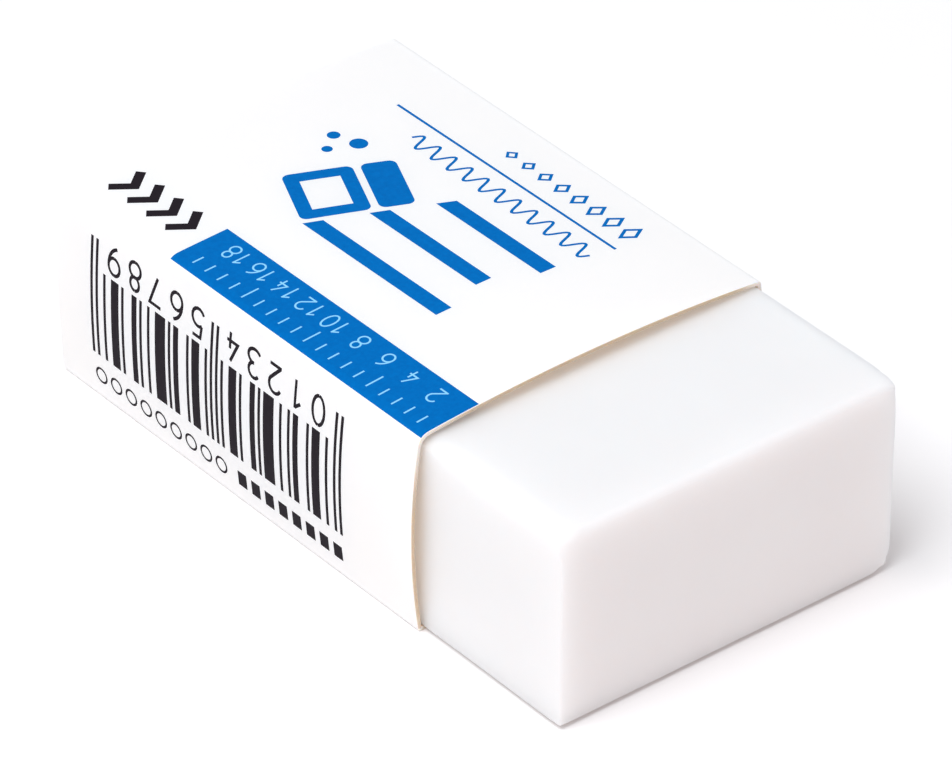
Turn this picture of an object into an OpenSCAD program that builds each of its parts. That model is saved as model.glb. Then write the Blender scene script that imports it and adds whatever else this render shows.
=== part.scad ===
// Vinyl eraser block in a folded card sleeve.
// Origin: middle of the underside, on the surface that the sleeve lies on.
// +X points to the bare end of the block, +Z is up.

/* [Block] */
// Length of the vinyl block
block_l = 40; // [32:0.5:60]
// Width of the vinyl block
block_w = 21.44; // [15:0.02:30]
// Height of the vinyl block
block_h = 11.27; // [8:0.01:16]
// Radius of the block's edges and corners
edge_r = 0.2; // [0.1:0.05:1.5]

/* [Card sleeve] */
// Length of the sleeve along the block
sleeve_l = 29.4; // [15:0.1:32]
// Thickness of the card
card_t = 0.25; // [0.2:0.01:0.5]
// Clearance between block and card at each fold
fit_gap = 0.03; // [0.02:0.01:0.2]
// Inner radius of the scored folds
fold_r = 0.15; // [0.05:0.05:0.4]
// Bow of the wide top panel, at its middle
top_bow = 0.55; // [0:0.05:1]
// Bow of the narrow plain side, at its middle
side_bow = 0.5; // [0:0.05:1]

/* [Glued lap] */
// Setback of the glue flap's edge below the top
flap_setback = 2.9; // [2:0.1:4]
// Strip of the flap that shows between the lower fold and the outer ply's edge
lap_reveal = 0.4; // [0.2:0.1:1]

/* [Hidden] */
$fn = 48;

// the sleeve's outer size, measured from fold to fold
sleeve_w = block_w + 2 * (card_t + fit_gap);
sleeve_h = block_h + 2 * card_t + fit_gap;
half_w = sleeve_w / 2;

// the block lies on the card's underside panel, and both start flush at the far end
block_z = card_t;
far_x = -block_l / 2;

// the seam side has two plies, from the outer ply's edge up to the glue flap's edge
ply_edge_z = fold_r + card_t + lap_reveal;
flap_edge_z = sleeve_h - flap_setback;

// bow of the seam side at which the flap comes no nearer to the block than the folds do
seam_bow = card_t * sleeve_h / (4 * flap_setback);

// points along each panel and round each fold
panel_steps = 20;
fold_steps = 6;

// Bow of a panel: 0 at both folds (u = 0 and u = 1), and bow at its middle
function bulge(bow, u) = 4 * bow * u * (1 - u);

// Points on the faces of the panels, at a depth below the outermost face.
// The seam side leans out by one card thickness towards its foot, over the glue flap.
function base_point(y, depth) = [y, depth];
function top_point(y, depth) = [y, sleeve_h - depth + bulge(top_bow, (y + half_w) / sleeve_w)];
function plain_side_point(z, depth) = [depth - half_w - bulge(side_bow, z / sleeve_h), z];
function seam_side_point(z, depth) =
    let (u = z / sleeve_h)
    [half_w - depth + card_t * (1 - u) + bulge(seam_bow, u), z];

// Values in equal steps from a to b, both ends included
function steps(a, b) = [for (i = [0 : panel_steps]) a + (b - a) * i / panel_steps];

// Points between a and b of a smooth bend that is tangent to a-corner and corner-b
function bend(a, corner, b) = [
    for (i = [1 : fold_steps - 1])
        let (u = i / fold_steps)
        (1 - u) * (1 - u) * a + 2 * u * (1 - u) * corner + u * u * b
];

// One face of the folded sheet, seen along X and closed at the seam: up the outer ply
// from seam_z, over the top, down the plain side, back under the block and up the flap
function sheet_face(depth, seam_z) =
    let (
        r = fold_r + card_t - depth,
        left = depth - half_w,
        right = half_w - depth,
        roof = sleeve_h - depth
    )
    concat(
        [for (z = steps(seam_z, roof - r)) seam_side_point(z, depth)],
        bend(seam_side_point(roof - r, depth), [right, roof], top_point(right - r, depth)),
        [for (y = steps(right - r, left + r)) top_point(y, depth)],
        bend(top_point(left + r, depth), [left, roof], plain_side_point(roof - r, depth)),
        [for (z = steps(roof - r, depth + r)) plain_side_point(z, depth)],
        bend(plain_side_point(depth + r, depth), [left, depth], base_point(left + r, depth)),
        [base_point(left + r, depth), base_point(right - r, depth)],
        bend(
            base_point(right - r, depth),
            [right, depth],
            seam_side_point(depth + r, depth + card_t)
        ),
        [for (z = steps(depth + r, seam_z)) seam_side_point(z, depth + card_t)]
    );

// Cross-section of the sleeve, with the glue flap inside the outer ply
module sleeve_section() {
    difference() {
        polygon(sheet_face(0, ply_edge_z));
        polygon(sheet_face(card_t, flap_edge_z));
    }
}

// Rods of radius r along the four edges in X of an l by w by h box
module edge_rods(l, w, h, r) {
    for (y = [r - w / 2, w / 2 - r], z = [r, h - r])
        translate([-l / 2, y, z])
            rotate([0, 90, 0])
                cylinder(r = r, h = l);
}

// Box with rounded edges and ball corners, centred on X and Y and standing on Z = 0
module rounded_box(l, w, h, r) {
    // the flats
    translate([-l / 2, r - w / 2, r]) cube([l, w - 2 * r, h - 2 * r]);
    translate([r - l / 2, -w / 2, r]) cube([l - 2 * r, w, h - 2 * r]);
    translate([r - l / 2, r - w / 2, 0]) cube([l - 2 * r, w - 2 * r, h]);
    // the edges along X, along Y and along Z
    edge_rods(l - 2 * r, w, h, r);
    rotate([0, 0, 90]) edge_rods(w - 2 * r, l, h, r);
    for (x = [r - l / 2, l / 2 - r], y = [r - w / 2, w / 2 - r])
        translate([x, y, r]) {
            cylinder(r = r, h = h - 2 * r);
            // the corners
            sphere(r = r);
            translate([0, 0, h - 2 * r]) sphere(r = r);
        }
}

module eraser_block() {
    color("whitesmoke")
        translate([0, 0, block_z])
            rounded_box(block_l, block_w, block_h, edge_r);
}

module card_sleeve() {
    color("white")
        translate([far_x, 0, 0])
            rotate([90, 0, 90])
                linear_extrude(sleeve_l)
                    sleeve_section();
}

eraser_block();
card_sleeve();
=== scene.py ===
"""White vinyl eraser in a folded and printed card sleeve, dressed and lit for rendering.

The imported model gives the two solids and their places. Each is replaced by a finer surface of the
same shape and size: the moulded block with its soft edges, and the card as one folded sheet with two
faces, cut edges and print. Shapes are worked out in millimetres and put into the meshes in metres.
"""
import logging
import math
from dataclasses import dataclass
from enum import IntEnum

import bpy
import numpy as np
from mathutils import Matrix, Vector
from mathutils.geometry import delaunay_2d_cdt


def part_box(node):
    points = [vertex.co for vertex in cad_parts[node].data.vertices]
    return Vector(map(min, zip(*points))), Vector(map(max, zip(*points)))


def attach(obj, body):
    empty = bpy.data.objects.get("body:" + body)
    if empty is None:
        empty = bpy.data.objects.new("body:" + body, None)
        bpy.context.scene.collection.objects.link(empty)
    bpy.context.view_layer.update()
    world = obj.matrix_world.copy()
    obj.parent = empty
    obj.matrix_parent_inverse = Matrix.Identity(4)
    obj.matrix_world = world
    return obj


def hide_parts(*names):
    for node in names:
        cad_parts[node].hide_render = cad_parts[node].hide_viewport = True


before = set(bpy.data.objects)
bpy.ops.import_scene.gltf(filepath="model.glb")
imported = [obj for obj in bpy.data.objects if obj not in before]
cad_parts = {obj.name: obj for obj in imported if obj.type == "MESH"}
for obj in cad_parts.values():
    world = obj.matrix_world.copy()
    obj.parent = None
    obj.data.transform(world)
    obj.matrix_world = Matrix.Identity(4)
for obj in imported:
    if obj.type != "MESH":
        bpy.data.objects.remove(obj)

MM = 0.001
LOG = logging.getLogger("eraser")

Points = np.ndarray
Colour = tuple[float, float, float, float]


# ---------------------------------------------------------------- helpers

def linear(hex_colour: str) -> Colour:
    """Turns an sRGB hex colour into linear light.

    A channel from 0 to 1 is divided by 12.92 up to 0.04045. Above that, 0.055 is added, the sum is
    divided by 1.055, and that is raised to the power of 2.4.

    Args:
        hex_colour: The colour as "#RRGGBB".

    Returns:
        Linear red, green and blue, and an alpha of 1.
    """
    coded = np.array([int(hex_colour[i:i + 2], 16) for i in (1, 3, 5)]) / 255
    light = np.where(coded <= 0.04045, coded / 12.92, ((coded + 0.055) / 1.055) ** 2.4)
    return (*light.tolist(), 1.0)


def per_feature(size_mm: float) -> float:
    """The scale of a noise on Object coordinates whose features are size_mm across."""
    return 1 / (size_mm * MM)


def unit(vectors: Points) -> Points:
    """The vectors at length 1, along the last axis."""
    return vectors / np.linalg.norm(vectors, axis=-1, keepdims=True)


def add_node(
    tree: bpy.types.NodeTree, kind: str, inputs: dict | None = None, **settings: object
) -> bpy.types.Node:
    """Adds a node with its settings and links.

    Args:
        tree: The tree that gets the node.
        kind: The node's type name.
        inputs: Socket name or number, and the value or the output socket that feeds it.
        **settings: Properties of the node itself.

    Returns:
        The new node.
    """
    made = tree.nodes.new(kind)
    for name, value in settings.items():
        setattr(made, name, value)
    for name, value in (inputs or {}).items():
        if isinstance(value, bpy.types.NodeSocket):
            tree.links.new(value, made.inputs[name])
        else:
            made.inputs[name].default_value = value
    return made


# ---------------------------------------------------------------- finishes

@dataclass(frozen=True)
class Finish:
    """What every finish shares: its name, colour, gloss and fine relief.

    Attributes:
        name: The real material, and how its surface was made.
        colour: Its colour as sRGB hex.
        shade: The colour in the hollows of its mottle, as sRGB hex.
        mottle_mm: Size of the mottle's patches.
        roughness: Roughness of the surface.
        gloss_change: How far the roughness strays from that, either way.
        ior: Index of refraction.
        relief_mm: Size of the relief's features.
        relief_height_mm: Height of the relief.
        reflection: Strength of its reflection, 0.5 for a closed surface and less for an open one.
    """

    name: str
    colour: str
    shade: str
    mottle_mm: float
    roughness: float
    gloss_change: float
    ior: float
    relief_mm: float
    relief_height_mm: float
    reflection: float = 0.5

    def material(self) -> bpy.types.Material:
        """Builds the material's nodes.

        Returns:
            The material.
        """
        made = bpy.data.materials.new(self.name)
        made.use_nodes = True
        tree = made.node_tree
        shader = tree.nodes["Principled BSDF"]
        shader.inputs["IOR"].default_value = self.ior
        shader.inputs["Specular IOR Level"].default_value = self.reflection
        place = add_node(tree, "ShaderNodeTexCoord").outputs["Object"]
        tree.links.new(self.colours(tree, place), shader.inputs["Base Color"])
        tree.links.new(self.gloss(tree, place), shader.inputs["Roughness"])
        tree.links.new(self.relief(tree, place), shader.inputs["Normal"])
        self.tune(shader)
        return made

    def colours(self, tree: bpy.types.NodeTree, place: bpy.types.NodeSocket) -> bpy.types.NodeSocket:
        """A soft mottle between the shade and the colour.

        Args:
            tree: The material's tree.
            place: The coordinates that the pattern reads.

        Returns:
            The colour socket.
        """
        cloud = add_node(
            tree, "ShaderNodeTexNoise",
            {"Vector": place, "Scale": per_feature(self.mottle_mm), "Detail": 3.0},
        )
        mix = add_node(
            tree, "ShaderNodeMix",
            {0: cloud.outputs["Fac"], 6: linear(self.shade), 7: linear(self.colour)},
            data_type="RGBA",
        )
        return mix.outputs[2]

    def gloss(self, tree: bpy.types.NodeTree, place: bpy.types.NodeSocket) -> bpy.types.NodeSocket:
        """The roughness, patchy at three times the size of the relief.

        Args:
            tree: The material's tree.
            place: The coordinates that the pattern reads.

        Returns:
            The roughness socket.
        """
        patch = add_node(
            tree, "ShaderNodeTexNoise",
            {"Vector": place, "Scale": per_feature(3 * self.relief_mm), "Detail": 2.0},
        )
        span = add_node(
            tree, "ShaderNodeMapRange",
            {
                "Value": patch.outputs["Fac"],
                "To Min": self.roughness - self.gloss_change,
                "To Max": self.roughness + self.gloss_change,
            },
        )
        return span.outputs["Result"]

    def relief(self, tree: bpy.types.NodeTree, place: bpy.types.NodeSocket) -> bpy.types.NodeSocket:
        """The fine relief of the surface, as a bump.

        Args:
            tree: The material's tree.
            place: The coordinates that the pattern reads.

        Returns:
            The normal socket.
        """
        grain = add_node(
            tree, "ShaderNodeTexNoise",
            {"Vector": place, "Scale": per_feature(self.relief_mm), "Detail": 4.0},
        )
        bump = add_node(
            tree, "ShaderNodeBump",
            {"Height": grain.outputs["Fac"], "Distance": self.relief_height_mm * MM},
        )
        return bump.outputs["Normal"]

    def tune(self, shader: bpy.types.Node) -> None:
        """Sets what only this finish has on the shader. Plain finishes have nothing more."""


@dataclass(frozen=True)
class OffsetInk(Finish):
    """Matt offset ink that has soaked into the board's coat: it hardly reflects, and it mottles finely."""

    mottle_mm: float = 0.25
    roughness: float = 0.5
    gloss_change: float = 0.05
    ior: float = 1.5
    relief_mm: float = 0.25
    relief_height_mm: float = 0.0012


@dataclass(frozen=True)
class MilkyFinish(Finish):
    """A body that light enters a little way, so that its edges and the shadows on it look soft.

    Attributes:
        depth_mm: How far light travels inside it.
        depth_share: Share of that for red, green and blue.
    """

    depth_mm: float = 1.0
    depth_share: tuple[float, float, float] = (1.0, 0.85, 0.8)

    def tune(self, shader: bpy.types.Node) -> None:
        """Lets light travel under the surface.

        Args:
            shader: The material's shader.
        """
        shader.inputs["Subsurface Weight"].default_value = 1.0
        shader.inputs["Subsurface Radius"].default_value = self.depth_share
        shader.inputs["Subsurface Scale"].default_value = self.depth_mm * MM


@dataclass(frozen=True)
class CutBoardEdge(MilkyFinish):
    """Die-cut edge of folding boxboard: tan pulp under a thin line of white coat.

    Attributes:
        coat: Colour of the coat, as sRGB hex.
        coat_share: Share of the card's thickness that the coat takes.
        stretched: Paler colour that the pulp is mixed towards near the folds, as sRGB hex.
    """

    coat: str = "#FBFAF7"
    coat_share: float = 0.07
    # The cut edge is mixed towards this paler colour near each fold, most widely along the front fold.
    stretched: str = "#EBE6DF"

    def colours(self, tree: bpy.types.NodeTree, place: bpy.types.NodeSocket) -> bpy.types.NodeSocket:
        """The pulp's mottle, paler at the folds, with a thin line of coat along the printed face.

        Args:
            tree: The material's tree.
            place: The coordinates that the pattern reads.

        Returns:
            The colour socket.
        """
        # Near the folds the pulp is mixed towards the paler colour.
        near_fold = add_node(tree, "ShaderNodeAttribute", attribute_name=FOLD_NAME)
        pulp = add_node(
            tree, "ShaderNodeMix",
            {0: near_fold.outputs["Fac"], 6: super().colours(tree, place), 7: linear(self.stretched)},
            data_type="RGBA",
        )
        depth = add_node(tree, "ShaderNodeAttribute", attribute_name=DEPTH_NAME)
        line = add_node(
            tree, "ShaderNodeMapRange",
            {"Value": depth.outputs["Fac"], "From Min": self.coat_share, "From Max": 2 * self.coat_share},
        )
        mix = add_node(
            tree, "ShaderNodeMix",
            {0: line.outputs["Result"], 6: linear(self.coat), 7: pulp.outputs[2]},
            data_type="RGBA",
        )
        return mix.outputs[2]


@dataclass(frozen=True)
class PulpSkin(Finish):
    """One face of the board. The board is thin, so some light passes through both of its faces.

    Attributes:
        passed: Colour of the light that passes, as sRGB hex.
        passed_share: Share of the light that passes.
        passed_gain: How much brighter it is than that, because the fibres send it mostly forwards.
    """

    passed: str = "#FFFFFF"
    passed_share: float = 0.1
    passed_gain: float = 1.0

    def tune(self, shader: bpy.types.Node) -> None:
        """Mixes the surface with one that scatters light through to its other side.

        Args:
            shader: The surface's own shader.
        """
        tree = shader.id_data
        glow = tuple(part * self.passed_gain for part in linear(self.passed)[:3])
        through = add_node(tree, "ShaderNodeBsdfTranslucent", {"Color": (*glow, 1.0)})
        both = add_node(
            tree, "ShaderNodeMixShader",
            {0: self.passed_share, 1: shader.outputs["BSDF"], 2: through.outputs["BSDF"]},
        )
        tree.links.new(both.outputs["Shader"], tree.nodes["Material Output"].inputs["Surface"])


@dataclass(frozen=True)
class LightTable(Finish):
    """An opal sheet that is lit from below, so that shadows on it stay faint.

    Attributes:
        glow: Colour of its own light, as sRGB hex.
        glow_strength: Strength of that light.
    """

    glow: str = "#FFF6F6"
    glow_strength: float = 0.07

    def tune(self, shader: bpy.types.Node) -> None:
        """Lights the sheet."""
        shader.inputs["Emission Color"].default_value = linear(self.glow)
        shader.inputs["Emission Strength"].default_value = self.glow_strength


# Name of the attribute that says how deep in the card's thickness a point lies, from 0 to 1.
DEPTH_NAME = "card_depth"
# Name of the attribute that says how near a point lies to a fold, from 0 to 1.
FOLD_NAME = "near_fold"

# Clay-coated and calendered board: near white and satin, with a faint cloudiness in its coat.
COATED_BOARD = PulpSkin(
    name="clay-coated boxboard, calendered", colour="#F5F6F7", shade="#F3F4F5", mottle_mm=2.5,
    roughness=0.45, gloss_change=0.05, ior=1.5, relief_mm=0.25, relief_height_mm=0.0012,
    reflection=0.25, passed="#FFFFFF", passed_share=0.1, passed_gain=2.8,
)
# The blue is a full tone, so only its fine mottle shows that it lies on board.
BLUE_INK = OffsetInk(
    name="blue offset ink on coated boxboard", colour="#0071BF", shade="#005FA9", reflection=0.02,
)
# The pale blue is a light tint of the same ink, so more of the coat's own sheen is left.
PALE_INK = OffsetInk(
    name="pale blue tint, offset on coated boxboard", colour="#92D3F6", shade="#84CAF2", reflection=0.05,
)
# The black dries a little warm, and duller than the coat round it.
BLACK_INK = OffsetInk(
    name="black offset ink on coated boxboard", colour="#272127", shade="#211C22", reflection=0.03,
)
# The knife leaves the pulp's fibres open, so the edge is tan, matt and a little translucent.
CUT_EDGE = CutBoardEdge(
    name="boxboard pulp, die-cut", colour="#D2C4AE", shade="#C2B198", mottle_mm=0.2,
    roughness=0.85, gloss_change=0.08, ior=1.47, relief_mm=0.06, relief_height_mm=0.008,
    reflection=0.2, depth_mm=0.3, depth_share=(1.0, 0.78, 0.6),
)
# The back has no coat: its fibres show as a soft, matt cream that lets warm light through.
BOARD_BACK = PulpSkin(
    name="boxboard back, uncoated", colour="#F6EEDF", shade="#EFE4D0", mottle_mm=0.5,
    roughness=0.75, gloss_change=0.06, ior=1.47, relief_mm=0.12, relief_height_mm=0.006,
    reflection=0.2, passed="#FFF0DC", passed_share=0.85,
)
# Behind the ink no light comes through, so there the back only reflects.
INKED_BACK = Finish(
    name="boxboard back, uncoated, behind ink", colour="#F6EEDF", shade="#EFE4D0", mottle_mm=0.5,
    roughness=0.75, gloss_change=0.06, ior=1.47, relief_mm=0.12, relief_height_mm=0.006, reflection=0.2,
)
# Moulded vinyl is smooth but not polished, and milky: shadows on it are pale and soft.
WHITE_VINYL = MilkyFinish(
    name="plasticised PVC, moulded and cut", colour="#EDECEB", shade="#EBE9E8", mottle_mm=4.0,
    roughness=0.5, gloss_change=0.06, ior=1.53, relief_mm=0.35, relief_height_mm=0.0025,
    reflection=0.4, depth_mm=2.5, depth_share=(1.0, 0.93, 0.9),
)
# The floor is a plain matt opal sheet, evenly lit from below.
SWEEP = LightTable(
    name="opal acrylic, satin", colour="#F4F2F1", shade="#F2F0EF", mottle_mm=40.0,
    roughness=0.9, gloss_change=0.05, ior=1.49, relief_mm=0.5, relief_height_mm=0.0005, reflection=0.2,
)


# ---------------------------------------------------------------- print

class Layer(IntEnum):
    """The finishes of the card, in the order of its material slots."""

    BOARD = 0
    BLUE = 1
    PALE = 2
    BLACK = 3
    EDGE = 4
    BACK = 5
    INKED_BACK = 6


CARD_FINISHES = {
    Layer.BOARD: COATED_BOARD,
    Layer.BLUE: BLUE_INK,
    Layer.PALE: PALE_INK,
    Layer.BLACK: BLACK_INK,
    Layer.EDGE: CUT_EDGE,
    Layer.BACK: BOARD_BACK,
    Layer.INKED_BACK: INKED_BACK,
}


@dataclass(frozen=True)
class Shape:
    """One printed field.

    Attributes:
        layer: The layer that prints it.
        outline: Its corners on the flat blank.
    """

    layer: Layer
    outline: Points


def box_outline(left: float, low: float, width: float, height: float) -> Points:
    """A rectangle from its lower left corner and its sides."""
    right, high = left + width, low + height
    return np.array([[left, low], [right, low], [right, high], [left, high]])


def lozenge_outline(centre: tuple[float, float], width: float, height: float) -> Points:
    """A lozenge that stands on its point."""
    reach = np.array([[width / 2, 0], [0, height / 2], [-width / 2, 0], [0, -height / 2]])
    return reach + centre


def arc(
    centre: tuple[float, float], radii: tuple[float, float], start: float, end: float, steps: int = 12,
) -> Points:
    """Points along an ellipse: the centre plus each radius times the cosine and sine of the angle.

    Args:
        centre: Centre of the ellipse.
        radii: Its radii across and up.
        start: First angle in degrees.
        end: Last angle in degrees.
        steps: Number of steps between them.

    Returns:
        The points, both ends included.
    """
    turn = np.radians(np.linspace(start, end, steps + 1))
    return np.array(centre) + np.array(radii) * np.stack([np.cos(turn), np.sin(turn)], axis=1)


def disc_outline(centre: tuple[float, float], radius: float) -> Points:
    """A disc as a ring of 24 points."""
    return arc(centre, (radius, radius), 0, 360, 24)[:-1]


def counterclockwise(outline: Points) -> Points:
    """Puts an outline in counterclockwise order.

    Half the sum of each step's cross product is its area, which is negative if it runs clockwise.

    Args:
        outline: The outline's corners.

    Returns:
        The same corners, in the other order if the area is negative.
    """
    across, up = outline.T
    area = np.sum(across * np.roll(up, -1) - up * np.roll(across, -1)) / 2
    return outline if area > 0 else outline[::-1]


def stroke(path: Points, weight: float) -> Points:
    """The outline of a line of even weight along a path.

    Each point is moved both ways along the mean normal of the two steps that meet there, by half the
    weight over the cosine of half the bend, so that both edges stay parallel to the path. The cosine
    counts as 0.5 at least, so that a sharp bend has no long spike.

    Args:
        path: Points of the line's middle.
        weight: Width of the line.

    Returns:
        The outline.
    """
    steps = unit(np.diff(path, axis=0))
    sides = np.stack([-steps[:, 1], steps[:, 0]], axis=1)
    before = np.vstack([sides[:1], sides])
    after = np.vstack([sides, sides[-1:]])
    mean = unit(before + after)
    least_cosine = 0.5
    reach = weight / 2 / np.maximum(np.sum(mean * after, axis=1), least_cosine)
    offset = mean * reach[:, None]
    return np.vstack([path - offset, (path + offset)[::-1]])


def turned(points: Points, degrees: float, corner: tuple[float, float]) -> Points:
    """Turns points counterclockwise about the origin and moves them to a corner.

    Args:
        points: The points.
        degrees: The turn.
        corner: Where the origin goes.

    Returns:
        The points in their new place.
    """
    angle = math.radians(degrees)
    across = np.array([math.cos(angle), math.sin(angle)])
    upward = np.array([-math.sin(angle), math.cos(angle)])
    return points[:, :1] * across + points[:, 1:] * upward + corner


def rounded_outline(left: float, low: float, width: float, height: float, radius: float) -> Points:
    """A rectangle whose corners are quarter circles.

    Args:
        left: Its left side.
        low: Its lower side.
        width: Its width.
        height: Its height.
        radius: Radius of its corners.

    Returns:
        The outline.
    """
    right, high = left + width - radius, low + height - radius
    inner_left, inner_low = left + radius, low + radius
    centres = ((right, inner_low), (right, high), (inner_left, high), (inner_left, inner_low))
    return np.vstack([
        arc(centre, (radius, radius), 90 * turn - 90, 90 * turn, 5) for turn, centre in enumerate(centres)
    ])


# Width of a numeral, and the space after it, as shares of its height.
NUMERAL_WIDTH = 0.56
NUMERAL_SPACE = 0.2


def numeral_paths(digit: int) -> list[Points]:
    """The strokes of a plain one-line numeral, 1 high and NUMERAL_WIDTH wide.

    Args:
        digit: 0 to 9.

    Returns:
        One path for each stroke.
    """
    wide = NUMERAL_WIDTH
    mid = wide / 2
    if digit == 0:
        return ring_paths((mid, 0.5), (mid, 0.5))
    if digit == 1:
        return [np.array([[0.34, 0.0], [0.34, 1.0]]), np.array([[0.08, 0.74], [0.34, 0.96]])]
    if digit == 2:
        hook = arc((mid, 0.71), (mid, 0.29), 160, -35)
        return [np.vstack([hook, [[0.05, 0.05]]]), np.array([[0.0, 0.04], [wide, 0.04]])]
    if digit == 3:
        return [arc((0.26, 0.74), (0.25, 0.26), 150, -90), arc((0.26, 0.25), (0.3, 0.25), 90, -150)]
    if digit == 4:
        return [np.array([[0.36, 1.0], [0.03, 0.3], [wide, 0.3]]), np.array([[0.4, 0.58], [0.4, 0.0]])]
    if digit == 5:
        flag = np.array([[0.5, 0.98], [0.11, 0.98], [0.06, 0.55]])
        return [flag, arc((0.24, 0.31), (0.3, 0.31), 130, -150)]
    if digit == 6:
        stem = arc((wide, 0.32), (wide, 0.68), 180, 105)
        return [stem, *ring_paths((mid, 0.3), (mid, 0.3))]
    if digit == 7:
        return [np.array([[0.0, 0.98], [wide, 0.98], [0.2, 0.0]])]
    if digit == 8:
        return [*ring_paths((mid, 0.76), (0.22, 0.24)), *ring_paths((mid, 0.27), (mid, 0.27))]
    return [np.array([wide, 1.0]) - path for path in numeral_paths(6)]


def ring_paths(centre: tuple[float, float], radii: tuple[float, float]) -> list[Points]:
    """A closed ring as its two halves, because one outline can't have a hole."""
    return [arc(centre, radii, 90, 270), arc(centre, radii, -90, 90)]


def number_shapes(
    layer: Layer, value: int, centre: tuple[float, float], height: float, weight: float,
) -> list[Shape]:
    """A whole number, centred on a point.

    Args:
        layer: The layer that prints it.
        value: The number.
        centre: The middle of the number.
        height: Height of its numerals.
        weight: Width of their strokes.

    Returns:
        A shape for each stroke.
    """
    pitch = (NUMERAL_WIDTH + NUMERAL_SPACE) * height
    digits = [int(sign) for sign in str(value)]
    left = centre[0] - (pitch * len(digits) - NUMERAL_SPACE * height) / 2
    low = centre[1] - height / 2
    return [
        Shape(layer, stroke(path * height + [left + place * pitch, low], weight))
        for place, digit in enumerate(digits)
        for path in numeral_paths(digit)
    ]


@dataclass(frozen=True)
class ScaleBand:
    """A blue band along the front fold, with a millimetre scale left paler on it.

    Attributes:
        length: Length of the band along the fold.
        height: Its height, measured up to the fold's middle.
        overrun: How far it runs past the mouth edge, which trims it.
        step: Spacing of the ticks, a true millimetre.
        weight: Weight of the ticks and of the numerals' strokes.
        tick: Length of a tick.
        long_tick: Length of every fifth tick.
        tick_margin: Distance of the ticks from the fold's middle.
        numeral_height: Height of the numerals, and of their middle above the band's lower side.
    """

    length: float = 20.2
    height: float = 3.53
    overrun: float = 1.0
    step: float = 1.0
    weight: float = 0.1
    tick: float = 0.7
    long_tick: float = 1.1
    tick_margin: float = 0.4
    numeral_height: float = 1.1

    def shapes(self, fold: float) -> list[Shape]:
        """The band, then each tick, and a number at every second one.

        Args:
            fold: The fold's middle on the wrap.

        Returns:
            The shapes.
        """
        low = fold - self.height
        band = box_outline(-self.overrun, low, self.length + self.overrun, self.height)
        made = [Shape(Layer.BLUE, band)]
        for number in range(1, int(self.length / self.step)):
            at = number * self.step
            length = self.tick if number % 5 else self.long_tick
            tick = box_outline(at - self.weight / 2, fold - self.tick_margin - length, self.weight, length)
            made.append(Shape(Layer.PALE, tick))
            if number % 2 == 0:
                centre = (at, low + self.numeral_height)
                made += number_shapes(Layer.PALE, number, centre, self.numeral_height, self.weight)
        return made


@dataclass(frozen=True)
class RuledRows:
    """A thin rule across the top panel, between a row of fine lozenges and a fine wave.

    Attributes:
        left: Left end of the rule.
        length: Length of the rule.
        weight: Weight of the fine lines.
        rule_at: Height of the rule above the panel's start.
        lozenges: Number of lozenges.
        lozenge_at: First lozenge's middle, from the rule's left end and above the panel's start.
        lozenge_pitch: Spacing of the lozenges.
        lozenge_size: Width and height of the first lozenge.
        lozenge_taper: How much less wide and high each next one is.
        line_share: Weight that a lozenge's outline takes from its width, in line weights.
        wave_at: The wave's start, from the rule's left end and above the panel's start.
        wave_length: Length of the wave.
        wave_height: Height of its crests above its middle.
        wave_pitch: Distance between two crests.
        wave_points: Number of points along it.
    """

    left: float = 6.4
    length: float = 17.6
    weight: float = 0.17
    rule_at: float = 3.82
    lozenges: int = 8
    lozenge_at: tuple[float, float] = (0.75, 2.3)
    lozenge_pitch: float = 1.35
    lozenge_size: tuple[float, float] = (1.05, 1.7)
    lozenge_taper: tuple[float, float] = (0.03, 0.12)
    line_share: float = 2.6
    wave_at: tuple[float, float] = (0.3, 5.35)
    wave_length: float = 14.3
    wave_height: float = 0.55
    wave_pitch: float = 1.3
    wave_points: int = 156

    def shapes(self, start: float) -> list[Shape]:
        """The rule, the lozenges and the wave, which is a sine of the distance along it.

        Args:
            start: Where the top panel starts on the wrap.

        Returns:
            The shapes.
        """
        made = [Shape(Layer.BLUE, box_outline(self.left, start + self.rule_at, self.length, self.weight))]
        for step in range(self.lozenges):
            centre = (self.left + self.lozenge_at[0] + step * self.lozenge_pitch, start + self.lozenge_at[1])
            wide, tall = np.array(self.lozenge_size) - step * np.array(self.lozenge_taper)
            inner = 1 - self.line_share * self.weight / wide
            made.append(Shape(Layer.BLUE, lozenge_outline(centre, wide, tall)))
            made.append(Shape(Layer.BOARD, lozenge_outline(centre, wide * inner, tall * inner)))
        along = np.linspace(0, self.wave_length, self.wave_points)
        rise = self.wave_height * np.sin(along * 2 * np.pi / self.wave_pitch)
        wave = np.stack([self.left + self.wave_at[0] + along, start + self.wave_at[1] + rise], axis=1)
        made.append(Shape(Layer.BLUE, stroke(wave, self.weight)))
        return made


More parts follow.
